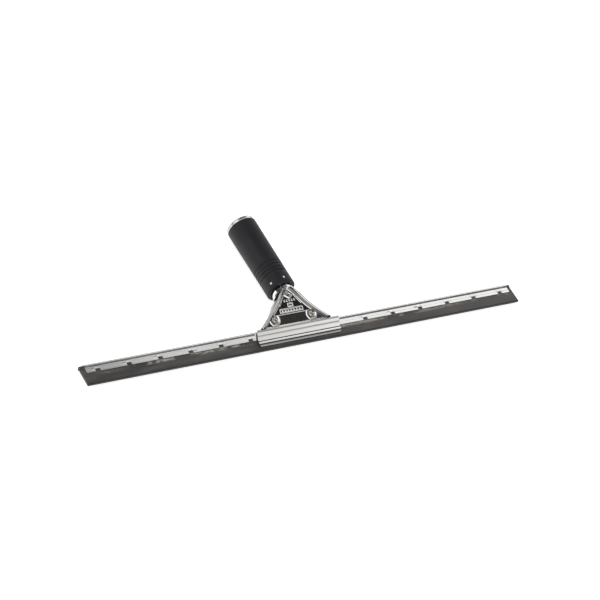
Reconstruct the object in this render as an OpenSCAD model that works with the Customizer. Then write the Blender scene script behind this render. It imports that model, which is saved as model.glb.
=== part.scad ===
// Window cleaning squeegee with a quick-release clamp.
// Frame: the origin is the centre of the pole socket's mouth at the free end of the grip. +Y runs along
// the grip and out of the socket, +X along the blade, and +Z out of the front face. Millimetres.

/* [Grip] */
// Length of the rubber sleeve
grip_len = 88.6; // [70:1:120]
// Sleeve diameter at the free end
grip_end_d = 32.6; // [26:0.1:42]
// How much narrower the sleeve is at the head end
grip_taper = 0.8; // [0:0.1:2]
// Rounding of the sleeve's head end
grip_round = 1.4; // [0.5:0.1:2]
// Distance from the sleeve's head end to the farthest ring groove
groove_start = 30.6; // [24:0.5:40]
// Number of ring grooves
groove_count = 4; // [1:1:5]
// Spacing of the ring grooves
groove_pitch = 4.4; // [3:0.1:5]
// Width of a ring groove
groove_w = 1.5; // [0.8:0.1:2]
// Depth of a ring groove
groove_depth = 0.6; // [0.3:0.1:1]
// Length of the metal ring at the free end
ring_len = 4; // [3:0.5:8]
// Rounding of the metal ring
ring_round = 1.6; // [0.5:0.1:2.4]

/* [Handle tube] */
// Wall of the rubber sleeve at the head end
sleeve_wall = 2.7; // [2:0.1:4]
// Wall of the handle tube
tube_wall = 1.15; // [1:0.05:1.5]
// How far the tube stops short of the sleeve's head end
tube_inset = 2.4; // [1:0.1:4]

/* [Pole socket] */
// Wall of the pole socket
socket_wall = 1.7; // [1:0.1:3]
// Distance from the socket's closed end to the head's neck
socket_gap = 5.6; // [1:0.1:30]
// Thickness of the socket's closed end
socket_floor = 2; // [1:0.5:3]

/* [Neck pins] */
// Number of pins round the neck
neck_pin_count = 6; // [3:1:6]
// Diameter of a neck pin
neck_pin_d = 2.6; // [2:0.1:3.5]
// Distance from the sleeve's head end to the pins
neck_pin_rise = 6.4; // [5:0.1:9]
// How far a pin's head lies below the sleeve's surface
neck_pin_sink = 0.7; // [0.3:0.1:1.5]

/* [Head] */
// Sheet thickness of the head
head_sheet = 1.2; // [0.8:0.1:1.4]
// How far the neck reaches into the handle tube
neck_plug = 19; // [15:0.5:19.5]
// Distance from the sleeve's head end to the head's lower edge
head_len = 37.4; // [34:0.5:50]
// Width of the head at its lower edge
base_w = 91; // [80:1:100]
// Bend of the head's flared sides
flare = 1.32; // [1.1:0.01:1.5]
// Depth of the head's side walls behind the grip axis
head_back = 10; // [8:0.5:11]
// Depth of the side ridges below the grip axis at the lower edge
crest_drop = 5; // [4:0.1:6]
// Distance from the head's side to the recessed panel
panel_margin = 6; // [5:0.1:8]
// Slope of the recessed panel in degrees
panel_slope = 30.1; // [28:0.1:31]
// Distance from the recessed panel's side to a rivet
rivet_inset = 6.45; // [5:0.05:9]
// Distance from the head's lower edge to the rivets
rivet_rise = 7.3; // [6.5:0.1:9]
// Depth of the jaw tab's front face below the grip axis at the rivets
rivet_drop = 6.1; // [5.8:0.1:6.6]

/* [Channel] */
// Length of the channel
channel_len = 540; // [250:10:1000]
// How far the channel sits to the right of the handle
channel_offset = 11.6; // [-40:0.2:40]
// Depth of the blade's middle plane behind the grip axis
blade_drop = 11.7; // [11.4:0.1:12]
// Sheet thickness of the channel
channel_sheet = 0.7; // [0.5:0.05:0.8]
// Width of the channel's upper part, front to back
bulb_w = 6.6; // [6:0.1:7]
// Height of the channel's upper part
bulb_h = 4.2; // [3.8:0.1:5]
// Rounding of the channel's upper corners
bulb_round = 2; // [1.5:0.1:2.4]
// Height of the channel's lips
lip_h = 6.4; // [5:0.1:8]
// Number of notches along the lips
notch_count = 15; // [5:2:27]
// Spacing of the notches
notch_pitch = 36.7; // [20:0.1:40]
// Width of a notch
notch_w = 5.5; // [4:0.1:8]
// Height of a notch
notch_h = 3; // [2:0.1:4]

/* [Rubber] */
// Length of the rubber
blade_len = 550; // [260:10:1010]
// Thickness of the rubber below the channel
blade_t = 2.6; // [2:0.1:2.8]
// How far the rubber stands out of the channel
blade_out = 13.2; // [12:0.1:16]

/* [Jaws] */
// Length of the jaws along the blade
jaw_len = 104; // [94:1:130]
// How far the jaws reach past the channel's lips
jaw_reach = 8.8; // [7:0.1:10]
// Length of the jaws' inturned lower lips
jaw_lip = 2.2; // [1.5:0.1:3]
// Sheet thickness of the front jaw
jaw_sheet = 1.2; // [1:0.1:1.4]
// Distance from the rivets up to the tab's upper edge
tab_rise = 3.4; // [2:0.1:5]
// How far the front jaw wraps over the channel's shoulder in degrees
jaw_wrap = 50; // [40:1:55]

/* [Lever] */
// Sheet thickness of the clamp lever
lever_sheet = 1.4; // [1.2:0.1:1.6]
// Width of the thumb pad
pad_w = 22; // [16:1:24]
// Distance from the pivot to the top of the thumb pad
pad_reach = 20; // [16:0.5:22]
// Distance from a rivet to the outside of the lever's ear
ear_inset = 8.1; // [7:0.1:10]
// Distance from the head's lower edge to the pivot
pivot_rise = 8.8; // [8.6:0.1:10]
// Diameter of the hinge pin
pin_d = 4; // [3:0.1:4]
// Thickness of the lever's and the bracket's ears
ear_sheet = 1.2; // [1:0.1:1.4]
// Thickness of a pin clip
clip_t = 0.8; // [0.6:0.1:1]

/* [Spring] */
// Outer diameter of the clamp spring
spring_d = 9; // [8:0.1:10]
// Wire diameter of the clamp spring
spring_wire = 1.1; // [0.8:0.05:1.2]
// Turns of the clamp spring
spring_turns = 4.5; // [3.5:0.5:5]
// Distance from the pivot to the clamp spring
spring_arm = 11; // [9.5:0.1:12]
// Height of the spring seat's flange below the grip axis
seat_drop = 6; // [5.5:0.1:6.5]

/* [Clearances] */
// Gap between pieces pressed or slid together for good
fit_gap = 0.05; // [0.02:0.01:0.1]
// Radial running clearance of the hinge
run_gap = 0.05; // [0.02:0.01:0.1]
// Gap between the rubber and the channel
slide_gap = 0.2; // [0.15:0.05:0.3]
// Gap between the jaws and what they hold
jaw_gap = 0.3; // [0.25:0.05:0.4]
// Gap above the channel, under the head
seat_gap = 0.4; // [0.3:0.05:0.6]

/* [Hidden] */
$fn = 64;
far = 200;
cut = 1;

// Stations along the handle, from the socket's mouth at 0 down to the rubber's edge
sleeve_top = -ring_len;
sleeve_end = sleeve_top - grip_len;
head_base = sleeve_end - head_len;
channel_top = head_base - seat_gap;
pinch_y = channel_top - bulb_h;
lip_end = pinch_y - lip_h;
blade_tip = lip_end - blade_out;
jaw_end = lip_end - jaw_reach;
pivot_y = head_base + pivot_rise;
pin_lift = 0.4;
pivot_z = -(blade_drop + bulb_w / 2 + jaw_gap) + pin_d / 2 + pin_lift;
spring_y = pivot_y + spring_arm;

// Socket, tube and neck, from the outside in
grip_end_r = grip_end_d / 2;
grip_neck_r = grip_end_r - grip_taper / 2;
tube_r = grip_neck_r - sleeve_wall;
tube_bore_r = tube_r - tube_wall;
neck_r = tube_bore_r - fit_gap;
neck_top = sleeve_end + neck_plug;
socket_r = tube_bore_r - fit_gap - socket_wall;
socket_depth = -neck_top - socket_gap - socket_floor;
mouth_flange = 1;
window_gap = 0.3;
sleeve_lip_gap = 0.4;
neck_pin_root = 2.2;

// Clamp cross-section, measured front to back from the blade's middle plane
lip_in = blade_t / 2 + slide_gap;
lip_out = lip_in + channel_sheet;
bulb_out = bulb_w / 2;
bulb_in = bulb_out - channel_sheet;
bead_half = bulb_in - slide_gap;
jaw_in = bulb_out + jaw_gap;
front_mid = jaw_in + jaw_sheet / 2;
back_mid = jaw_in + lever_sheet / 2;

// Head: the neck ends and the flare starts at flare_top
flare_gap = 5.6;
flare_top = sleeve_end - flare_gap;
flare_h = flare_top - head_base;
crest_end = 1;
crest_slope = atan2(neck_r + crest_drop, flare_h + crest_end);
neck_lap = 2;
neck_start = flare_top + neck_lap / 5;
corner_slope = 1.15;
rivet_y = head_base + rivet_rise;
rivet_x = head_half(rivet_rise) - panel_margin - rivet_inset;

// Stack under a rivet, as depths below the jaw tab's front face
tab_back = jaw_sheet;
floor_front = tab_back + fit_gap;
floor_back = floor_front + head_sheet;
bracket_front = floor_back + fit_gap;
bracket_back = bracket_front + ear_sheet;
washer_t = 0.8;
washer_back = bracket_back + washer_t;
clench_h = 0.9;
clench_lip = 0.8;
rivet_tail = washer_back + clench_h;
rivet_r = 1.6;
washer_r = 3.4;
rivet_head_r = 4;
rivet_head_h = 1.7;
step_gap = 0.4;
recess_end = 1;
edge_gap = 0.1;

// Lever and bracket
lever_ear_out = rivet_x - ear_inset;
ear_gap = 0.4;
clip_gap = 0.1;
pin_tip = 0.8;
pin_groove = 0.5;
clip_lip = 0.8;
eye_wall = 1.2;
ear_half = 6;
boss_gap = 0.6;
boss_h = 1.5;
seat_boss = 2;
seat_lip = 0.6;
bracket_ear_in = lever_ear_out + ear_gap;
bracket_ear_out = bracket_ear_in + ear_sheet;
clip_in = bracket_ear_out + clip_gap;
clip_out = clip_in + clip_t;
pin_end = clip_out + pin_tip;
pin_r = pin_d / 2;
groove_r = pin_r - pin_groove;
ear_r = pin_r + eye_wall;
clip_r = pin_r + clip_lip;
boss_r = spring_d / 2 - spring_wire - boss_gap;

function pairs_reversed(p) = [for (i = [len(p) - 1 : -1 : 0]) p[i]];
function arc(c, r, a0, a1, n) = [for (i = [0 : n]) let (a = a0 + (a1 - a0) * i / n) c + r * [cos(a), sin(a)]];
function unit(v) = v / norm(v);
function left_of(v) = [-v[1], v[0]];
// Mitred side of a bent strip: the point beside point i, at distance d to the left of the path
function side_point(p, i, d) =
    let (a = unit(i > 0 ? p[i] - p[i - 1] : p[1] - p[0]))
    let (b = unit(i < len(p) - 1 ? p[i + 1] - p[i] : a))
    let (m = unit(left_of(a) + left_of(b)))
    p[i] + m * d / (m * left_of(a));
function strip(p, t) = concat([for (i = [0 : len(p) - 1]) side_point(p, i, t / 2)],
    pairs_reversed([for (i = [0 : len(p) - 1]) side_point(p, i, -t / 2)]));
// Half-width of the head at the height y above its lower edge
function head_half(y) = neck_r + (base_w / 2 - neck_r) * pow(max(0, 1 - y / flare_h), flare);
// Depth of the sloping panel plane at y, for a plane d below the jaw tab's front face
function panel_z(y, d) = -rivet_drop - d / cos(panel_slope) + (y - rivet_y) * tan(panel_slope);

// Carries a (y, z) outline along X, centred
module along_x(w) {
    rotate([90, 0, 90]) linear_extrude(height = w, center = true) children();
}

// Frame of the sloping panel: its origin is between the rivets, +Y is up the slope, +Z out of it
module on_panel() {
    translate([0, rivet_y, -rivet_drop]) rotate([panel_slope, 0, 0]) children();
}

// Turns a (radius, y) profile about the handle's axis
module about_y() {
    rotate([-90, 0, 0]) rotate_extrude() children();
}

module tube_between(r_out, r_in, y0, y1) {
    about_y() polygon([[r_in, y0], [r_out, y0], [r_out, y1], [r_in, y1]]);
}

module grip_sleeve() {
    bore = tube_r + fit_gap;
    lip_bore = neck_r + sleeve_lip_gap;
    color("#232528") difference() {
        about_y() difference() {
            polygon(concat([[lip_bore, sleeve_end]],
                arc([grip_neck_r - grip_round, sleeve_end + grip_round], grip_round, -90, 0, 6),
                [[grip_end_r, sleeve_top], [bore, sleeve_top], [bore, sleeve_end + tube_inset - fit_gap],
                    [lip_bore, sleeve_end + tube_inset - fit_gap]]));
            for (i = [0 : groove_count - 1]) {
                translate([grip_neck_r - groove_depth, sleeve_end + groove_start - i * groove_pitch])
                    square([far, groove_w]);
            }
        }
        neck_pin_places() cylinder(r = neck_pin_d / 2 + window_gap, h = far);
    }
}

module neck_pin_places() {
    for (i = [0 : neck_pin_count - 1]) {
        translate([0, sleeve_end + neck_pin_rise, 0]) rotate([0, 360 / neck_pin_count * i, 0]) children();
    }
}

module neck_pins() {
    foot = neck_r - neck_pin_root;
    color("silver") neck_pin_places() {
        translate([0, 0, foot]) cylinder(r = neck_pin_d / 2, h = grip_neck_r - neck_pin_sink - foot);
    }
}

module grip_end_ring() {
    bore = tube_r + fit_gap;
    color("silver") about_y() polygon(concat([[bore, sleeve_top], [grip_end_r, sleeve_top]],
        arc([grip_end_r - ring_round, -ring_round], ring_round, 0, 90, 8), [[bore, 0]]));
}

module handle_tube() {
    color("lightgray") difference() {
        tube_between(tube_r, tube_bore_r, sleeve_end + tube_inset, -mouth_flange - fit_gap);
        neck_pin_places() cylinder(r = neck_pin_d / 2, h = far);
    }
}

module pole_socket_liner() {
    wall_r = tube_bore_r - fit_gap;
    end = -socket_depth - socket_floor;
    color("#1c1c1c") about_y() polygon([[0, end], [wall_r, end], [wall_r, -mouth_flange], [tube_r, -mouth_flange],
        [tube_r, 0], [socket_r, 0], [socket_r, -socket_depth], [0, -socket_depth]]);
}

// Solid flared body of the head, shrunk by t all over
module head_solid(t) {
    steps = 14;
    top = flare_h + neck_lap;
    ys = [for (i = [0 : steps]) i * flare_h / steps];
    crest0 = -crest_drop - t / cos(crest_slope);
    crest1 = crest0 + top * tan(crest_slope);
    base_cut = t > 0 ? cut : 0;
    intersection() {
        translate([0, head_base, -far / 2]) linear_extrude(height = far) polygon(concat(
            [[head_half(0) - t, -base_cut]], [for (y = ys) [head_half(y) - t, y]], [[neck_r - t, top]],
            [[t - neck_r, top]], pairs_reversed([for (y = ys) [t - head_half(y), y]]),
            [[t - head_half(0), -base_cut]]));
        along_x(far) polygon([[head_base - base_cut, -head_back - base_cut],
            [head_base - base_cut, crest0 - base_cut * tan(crest_slope)], [head_base + top, crest1],
            [head_base + top, -head_back - base_cut]]);
        translate([0, head_base + top, 0]) rotate([90, 0, 0])
            cylinder(r1 = neck_r - t, r2 = neck_r - t + corner_slope * far, h = far);
    }
}

// Column over the recessed panel, grown sideways and at its top end
module panel_column(grow) {
    steps = 10;
    top = flare_h - recess_end;
    m = panel_margin - grow;
    ys = [for (i = [0 : steps]) i * top / steps];
    translate([0, head_base, -far / 2]) linear_extrude(height = far) polygon(concat(
        [[head_half(0) - m, -cut]], [for (y = ys) [head_half(y) - m, y]],
        [[head_half(top) - m, top + grow], [m - head_half(top), top + grow]],
        pairs_reversed([for (y = ys) [m - head_half(y), y]]), [[m - head_half(0), -cut]]));
}

// Space in front of the recessed panel; grow widens it by the sheet so that walls keep their thickness.
// The panel steps back under the jaw's tab, so that the tab's face is flush with the panel above it.
module panel_recess(grow) {
    intersection() {
        panel_column(grow);
        on_panel() union() {
            translate([-far / 2, -far / 2, -grow]) cube([far, far, far]);
            translate([-far / 2, tab_rise + step_gap + grow - far, -floor_front - grow]) cube([far, far, far]);
        }
    }
}

module rivet_places() {
    for (s = [-1, 1]) on_panel() translate([s * rivet_x, 0, 0]) children();
}

module head_frame() {
    color("gainsboro") difference() {
        union() {
            difference() {
                head_solid(0);
                panel_recess(0);
            }
            tube_between(neck_r, neck_r - head_sheet, neck_start, neck_top);
        }
        difference() {
            head_solid(head_sheet);
            panel_recess(head_sheet);
        }
        rivet_places() translate([0, 0, -far / 2]) cylinder(r = rivet_r, h = far);
        neck_pin_places() cylinder(r = neck_pin_d / 2, h = far);
    }
}

// Path of the front jaw's middle line, as (y, z), from its lower lip up over the channel's shoulder
function front_jaw_path() =
    let (shoulder = [channel_top - bulb_round, bulb_out - bulb_round - blade_drop])
    let (r = bulb_round + jaw_gap + fit_gap + jaw_sheet / 2)
    let (last = shoulder + r * [sin(jaw_wrap), cos(jaw_wrap)])
    let (m = tan(panel_slope))
    let (run = (panel_z(last[0], tab_back / 2) - last[1]) / (-sin(jaw_wrap) - m * cos(jaw_wrap)))
    let (tab_top = rivet_y + tab_rise * cos(panel_slope))
    concat([[jaw_end, blade_t / 2 + jaw_gap + jaw_sheet / 2 - blade_drop],
        [jaw_end + jaw_lip, front_mid + fit_gap - blade_drop]],
        [for (i = [0 : 5]) let (a = jaw_wrap * i / 5) shoulder + r * [sin(a), cos(a)]],
        [last + run * [cos(jaw_wrap), -sin(jaw_wrap)], [tab_top, panel_z(tab_top, tab_back / 2)]]);

module front_jaw() {
    color("gainsboro") difference() {
        intersection() {
            along_x(jaw_len) polygon(strip(front_jaw_path(), jaw_sheet));
            union() {
                panel_column(-jaw_gap);
                translate([-jaw_len / 2, head_base - edge_gap - far, -far / 2]) cube([jaw_len, far, far]);
            }
        }
        rivet_places() translate([0, 0, -far / 2]) cylinder(r = rivet_r, h = far);
    }
}

module jaw_rivet(side) {
    dome = (pow(rivet_head_r, 2) + pow(rivet_head_h, 2)) / (2 * rivet_head_h);
    color("silver") on_panel() translate([side * rivet_x, 0, 0]) {
        intersection() {
            translate([0, 0, rivet_head_h - dome]) sphere(r = dome);
            cylinder(r = rivet_head_r, h = rivet_head_h);
        }
        translate([0, 0, -rivet_tail]) cylinder(r = rivet_r, h = rivet_tail);
        translate([0, 0, -rivet_tail]) cylinder(r = rivet_r + clench_lip, h = clench_h);
    }
}

module jaw_rivet_left() {
    jaw_rivet(-1);
}

module jaw_rivet_right() {
    jaw_rivet(1);
}

module rivet_washer(side) {
    color("lightgray") on_panel() translate([side * rivet_x, 0, -washer_back]) difference() {
        cylinder(r = washer_r, h = washer_t);
        translate([0, 0, -cut]) cylinder(r = rivet_r, h = washer_back);
    }
}

module rivet_washer_left() {
    rivet_washer(-1);
}

module rivet_washer_right() {
    rivet_washer(1);
}

module pivot_bore(r) {
    translate([0, pivot_y, pivot_z]) rotate([0, 90, 0]) cylinder(r = r, h = far, center = true);
}

module hinge_bracket() {
    foot_margin = 5;
    foot_end = rivet_x + foot_margin;
    foot_low = -foot_margin;
    foot_high = 6;
    bridge_low = 2.8;
    color("silver") difference() {
        intersection() {
            union() {
                on_panel() translate([-foot_end, bridge_low, -bracket_back])
                    cube([2 * foot_end, foot_high - bridge_low, ear_sheet]);
                for (s = [-1, 1]) {
                    on_panel() translate([s > 0 ? bracket_ear_in : -foot_end, foot_low, -bracket_back])
                        cube([foot_end - bracket_ear_in, foot_high - foot_low, ear_sheet]);
                    translate([s * (bracket_ear_in + ear_sheet / 2), 0, 0]) along_x(ear_sheet) bracket_ear();
                }
            }
            panel_column(panel_margin - head_sheet - jaw_gap);
        }
        rivet_places() translate([0, 0, -far / 2]) cylinder(r = rivet_r, h = far);
        pivot_bore(pin_r);
    }
}

// Outline of a bracket ear: a plate from the panel back to a round end about the pivot
module bracket_ear() {
    translate([pivot_y, pivot_z]) circle(r = ear_r);
    intersection() {
        translate([pivot_y - ear_r, pivot_z]) square([2 * ear_r, far]);
        polygon([[pivot_y - far, panel_z(pivot_y - far, bracket_front)],
            [pivot_y + far, panel_z(pivot_y + far, bracket_front)], [pivot_y + far, -far], [pivot_y - far, -far]]);
    }
}

module hinge_pin() {
    color("silver") translate([0, pivot_y, pivot_z]) rotate([0, 90, 0]) difference() {
        cylinder(r = pin_r, h = 2 * pin_end, center = true);
        for (s = [-1, 1]) translate([0, 0, s * (clip_in + clip_out) / 2]) difference() {
            cylinder(r = pin_r + cut, h = clip_t, center = true);
            cylinder(r = groove_r, h = clip_t + cut, center = true);
        }
    }
}

module pin_clip(side) {
    mouth = 1.6 * groove_r;
    mid = side * (clip_in + clip_out) / 2;
    color("dimgray") translate([mid, pivot_y, pivot_z]) rotate([0, 90, 0]) difference() {
        cylinder(r = clip_r, h = clip_t - fit_gap, center = true);
        cylinder(r = groove_r, h = clip_t + cut, center = true);
        translate([0, -mouth / 2, -clip_t]) cube([far, mouth, 2 * clip_t]);
    }
}

module pin_clip_left() {
    pin_clip(-1);
}

module pin_clip_right() {
    pin_clip(1);
}

module clamp_lever() {
    back = -blade_drop - back_mid;
    pad_r = pad_w / 2;
    pad_centre = pivot_y + pad_reach - pad_r;
    bar_top = head_base + seat_gap;
    web_half = 2 * lever_ear_out;
    ear_low = pivot_y - ear_half;
    ear_high = pivot_y + ear_half;
    color("gainsboro") difference() {
        union() {
            intersection() {
                along_x(jaw_len) polygon(strip([[jaw_end, -blade_t / 2 - jaw_gap - lever_sheet / 2 - blade_drop],
                    [jaw_end + jaw_lip, back], [bar_top, back]], lever_sheet));
                translate([-far, bar_top - far, -far / 2]) cube([2 * far, far, far]);
            }
            translate([0, 0, back - lever_sheet / 2]) linear_extrude(height = lever_sheet) {
                polygon([[-web_half, bar_top], [web_half, bar_top], [lever_ear_out, ear_low],
                    [lever_ear_out, ear_high], [pad_r, pad_centre], [-pad_r, pad_centre], [-lever_ear_out, ear_high],
                    [-lever_ear_out, ear_low]]);
                translate([0, pad_centre]) circle(r = pad_r);
            }
            for (s = [-1, 1]) translate([s * (lever_ear_out - ear_sheet / 2), 0, 0]) along_x(ear_sheet) {
                translate([pivot_y, pivot_z]) circle(r = ear_r);
                translate([ear_low, back]) square([ear_high - ear_low, pivot_z - back]);
            }
            translate([0, spring_y, back]) cylinder(r = boss_r, h = lever_sheet / 2 + boss_h);
        }
        pivot_bore(pin_r + run_gap);
    }
}

module spring_seat() {
    flange_r = spring_d / 2 + seat_lip;
    color("silver") intersection() {
        union() {
            translate([0, spring_y, -seat_drop]) cylinder(r = flange_r, h = far);
            translate([0, spring_y, -seat_drop - seat_boss]) cylinder(r = boss_r, h = far);
        }
        on_panel() translate([-far, -far, -2 * far - head_sheet - fit_gap]) cube(2 * far);
    }
}

// Compression spring: a wire of eight sides swept along a helix, with its end turns closed up
function spring_lift(u) = let (closed = 0.75, share = 0.18, n = spring_turns)
    u < closed ? share * u / closed : u > n - closed ? 1 - share * (n - u) / closed
    : share + (1 - 2 * share) * (u - closed) / (n - 2 * closed);

module clamp_spring() {
    sides = 8;
    steps_per_turn = 20;
    touch = 0.02;
    steps = ceil(spring_turns * steps_per_turn);
    low = -blade_drop - jaw_in + spring_wire / 2 + touch;
    high = -seat_drop - spring_wire / 2 - touch;
    coil_r = (spring_d - spring_wire) / 2;
    rings = [for (i = [0 : steps]) let (u = spring_turns * i / steps, a = 360 * u)
        [for (k = [0 : sides - 1]) let (b = 360 * k / sides, r = coil_r + spring_wire / 2 * cos(b))
            [r * cos(a), r * sin(a), low + (high - low) * spring_lift(u) + spring_wire / 2 * sin(b)]]];
    points = [for (ring = rings) for (p = ring) p];
    walls = [for (i = [0 : steps - 1]) for (k = [0 : sides - 1]) let (n = (k + 1) % sides)
        [i * sides + k, i * sides + n, (i + 1) * sides + n, (i + 1) * sides + k]];
    first_end = [for (k = [sides - 1 : -1 : 0]) k];
    last_end = [for (k = [0 : sides - 1]) steps * sides + k];
    color("silver") translate([0, spring_y, 0])
        polyhedron(points = points, faces = concat([first_end, last_end], walls), convexity = 10);
}

// Half of the channel's outline, as (y, depth from the middle plane), grown inwards by t
function channel_side(half_lip, half_bulb, top, r, low) = concat([[low, half_lip], [pinch_y, half_lip]],
    [[pinch_y + half_bulb - half_lip, half_bulb]], arc([top - r, half_bulb - r], r, 90, 0, 6));

module channel_outline(half_lip, half_bulb, top, r, low) {
    a = channel_side(half_lip, half_bulb, top, r, low);
    translate([0, -blade_drop]) polygon(concat(a, [for (p = pairs_reversed(a)) [p[0], -p[1]]]));
}

module channel() {
    color("lightgray") translate([channel_offset, 0, 0]) difference() {
        along_x(channel_len) difference() {
            channel_outline(lip_out, bulb_out, channel_top, bulb_round, lip_end);
            channel_outline(lip_in, bulb_in, channel_top - channel_sheet, bulb_round - channel_sheet,
                lip_end - cut);
        }
        for (i = [0 : notch_count - 1]) {
            translate([(i - (notch_count - 1) / 2) * notch_pitch - notch_w / 2, lip_end - cut, -far / 2])
                cube([notch_w, notch_h + cut, far]);
        }
    }
}

module rubber_blade() {
    half = blade_t / 2;
    bead_cut = 1;
    top = channel_top - channel_sheet - slide_gap;
    shoulder = pinch_y + bead_half - half + slide_gap / 2;
    color("#2b2928") translate([channel_offset, 0, -blade_drop]) along_x(blade_len) polygon([
        [blade_tip, -half], [shoulder - bead_half + half, -half], [shoulder, -bead_half],
        [top - bead_cut, -bead_half], [top, bead_cut - bead_half], [top, bead_half - bead_cut],
        [top - bead_cut, bead_half], [shoulder, bead_half], [shoulder - bead_half + half, half], [blade_tip, half]]);
}

grip_sleeve();
grip_end_ring();
handle_tube();
pole_socket_liner();
neck_pins();
head_frame();
front_jaw();
jaw_rivet_left();
jaw_rivet_right();
rivet_washer_left();
rivet_washer_right();
hinge_bracket();
hinge_pin();
pin_clip_left();
pin_clip_right();
clamp_lever();
spring_seat();
clamp_spring();
channel();
rubber_blade();
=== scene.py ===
import math

import bpy
import bmesh
import numpy as np
from mathutils import Matrix, Vector


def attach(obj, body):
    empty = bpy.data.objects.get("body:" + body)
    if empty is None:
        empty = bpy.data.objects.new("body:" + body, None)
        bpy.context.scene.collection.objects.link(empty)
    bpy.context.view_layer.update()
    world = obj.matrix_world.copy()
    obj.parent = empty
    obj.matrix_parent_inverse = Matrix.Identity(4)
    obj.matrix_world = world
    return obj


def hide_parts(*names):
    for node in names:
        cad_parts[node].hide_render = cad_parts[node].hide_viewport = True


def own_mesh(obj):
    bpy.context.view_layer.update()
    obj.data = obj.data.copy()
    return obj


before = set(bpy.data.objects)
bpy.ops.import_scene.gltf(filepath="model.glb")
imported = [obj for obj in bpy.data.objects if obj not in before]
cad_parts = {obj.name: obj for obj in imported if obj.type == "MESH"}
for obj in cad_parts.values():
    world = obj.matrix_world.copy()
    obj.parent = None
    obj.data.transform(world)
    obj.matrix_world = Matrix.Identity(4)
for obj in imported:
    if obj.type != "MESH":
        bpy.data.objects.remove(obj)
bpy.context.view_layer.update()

mm = 0.001

print("stage: tools")


class Wire:
    # one shader socket that can stand in a sum
    def __init__(self, finish, socket):
        self.finish = finish
        self.socket = socket

    def sum(self, kind, *values):
        return self.finish.node("ShaderNodeMath", {"operation": kind}, dict(enumerate(values)))

    def __add__(self, other):
        return self.sum("ADD", self, other)

    def __radd__(self, other):
        return self.sum("ADD", other, self)

    def __sub__(self, other):
        return self.sum("SUBTRACT", self, other)

    def __rsub__(self, other):
        return self.sum("SUBTRACT", other, self)

    def __mul__(self, other):
        return self.sum("MULTIPLY", self, other)

    def __rmul__(self, other):
        return self.sum("MULTIPLY", other, self)

    def __abs__(self):
        return self.sum("ABSOLUTE", self)

    def step(self, low, high):
        # 0 below low, 1 above high, eased in between
        return self.finish.node("ShaderNodeMapRange", {"interpolation_type": "SMOOTHSTEP"},
                                {"Value": self, "From Min": low, "From Max": high})

    def bell(self, middle, half):
        # 1 at the middle, fading to 0 at the distance half on either side
        return 1 - abs(self - middle).step(0, half)


class Finish:
    # one material or world, with its nodes added by name
    def __init__(self, owner):
        owner.use_nodes = True
        self.owner = owner
        self.tree = owner.node_tree
        self.tree.nodes.clear()

    def node(self, kind, settings=None, links=None, out=0):
        made = self.tree.nodes.new(kind)
        for key, value in (settings or {}).items():
            setattr(made, key, value)
        for key, value in (links or {}).items():
            if isinstance(value, Wire):
                self.tree.links.new(value.socket, made.inputs[key])
            else:
                made.inputs[key].default_value = value
        return Wire(self, made.outputs[out])

    def place(self, scale=(1, 1, 1), turn=(0, 0, 0)):
        coords = self.node("ShaderNodeTexCoord", out="Object")
        return self.node("ShaderNodeMapping", links={"Vector": coords, "Scale": scale, "Rotation": turn})

    def axis(self, name):
        # the place along X, Y or Z in millimetres
        coords = self.node("ShaderNodeTexCoord", out="Object")
        return self.node("ShaderNodeSeparateXYZ", links={0: coords}, out=name) * 1000

    def noise(self, where, scale, detail=3.0, rough=0.5):
        return self.node("ShaderNodeTexNoise", links={"Vector": where, "Scale": scale, "Detail": detail,
                                                      "Roughness": rough})

    def blendColour(self, share, first, second):
        return self.node("ShaderNodeMix", {"data_type": "RGBA"}, {0: share, 6: first, 7: second}, out=2)

    def bump(self, height, strength, distance):
        return self.node("ShaderNodeBump", links={"Height": height, "Strength": strength,
                                                  "Distance": distance})

    def shade(self):
        # the painted shade number that makePiece writes at each point, or 0 where it writes none
        return self.node("ShaderNodeAttribute", {"attribute_name": "shade"}, out="Fac")

    def surface(self, **values):
        # keyword names are the shader's socket names without spaces
        shader = self.tree.nodes.new("ShaderNodeBsdfPrincipled")
        names = {socket.name.replace(" ", ""): socket for socket in shader.inputs}
        for key, value in values.items():
            if isinstance(value, Wire):
                self.tree.links.new(value.socket, names[key])
            else:
                names[key].default_value = value
        end = self.tree.nodes.new("ShaderNodeOutputMaterial")
        self.tree.links.new(shader.outputs[0], end.inputs[0])
        return self.owner


def newFinish(name):
    return Finish(bpy.data.materials.new(name))


def smooth(low, high, x):
    # 0 below low, 1 above high, eased in between
    t = np.clip((x - low) / (high - low), 0, 1)
    return t * t * (3 - 2 * t)


def arcPoints(centre, radius, start, end, count):
    # points on a circle from one angle to another, in degrees
    a = np.radians(np.linspace(start, end, count))
    return np.stack([centre[0] + radius * np.cos(a), centre[1] + radius * np.sin(a)], 1)


def roundCorners(points, radius, count=5, closed=True):
    # each corner is swapped for a short curve that leaves its two sides at the given distance
    p = np.asarray(points, float)
    before, after = np.roll(p, 1, 0), np.roll(p, -1, 0)
    r = np.broadcast_to(np.asarray(radius, float), (len(p),))[:, None]
    toBefore, toAfter = before - p, after - p
    lengthBefore = np.linalg.norm(toBefore, axis=1, keepdims=True)
    lengthAfter = np.linalg.norm(toAfter, axis=1, keepdims=True)
    a = p + toBefore / lengthBefore * np.minimum(r, 0.49 * lengthBefore)
    b = p + toAfter / lengthAfter * np.minimum(r, 0.49 * lengthAfter)
    if not closed:
        a[0] = b[0] = p[0]
        a[-1] = b[-1] = p[-1]
    t = np.linspace(0, 1, count)[None, :, None]
    curve = (1 - t) ** 2 * a[:, None] + 2 * t * (1 - t) * p[:, None] + t ** 2 * b[:, None]
    curve = curve.reshape(-1, 2)
    keep = np.r_[True, np.linalg.norm(np.diff(curve, axis=0), axis=1) > 1e-6]
    return curve[keep]


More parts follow.
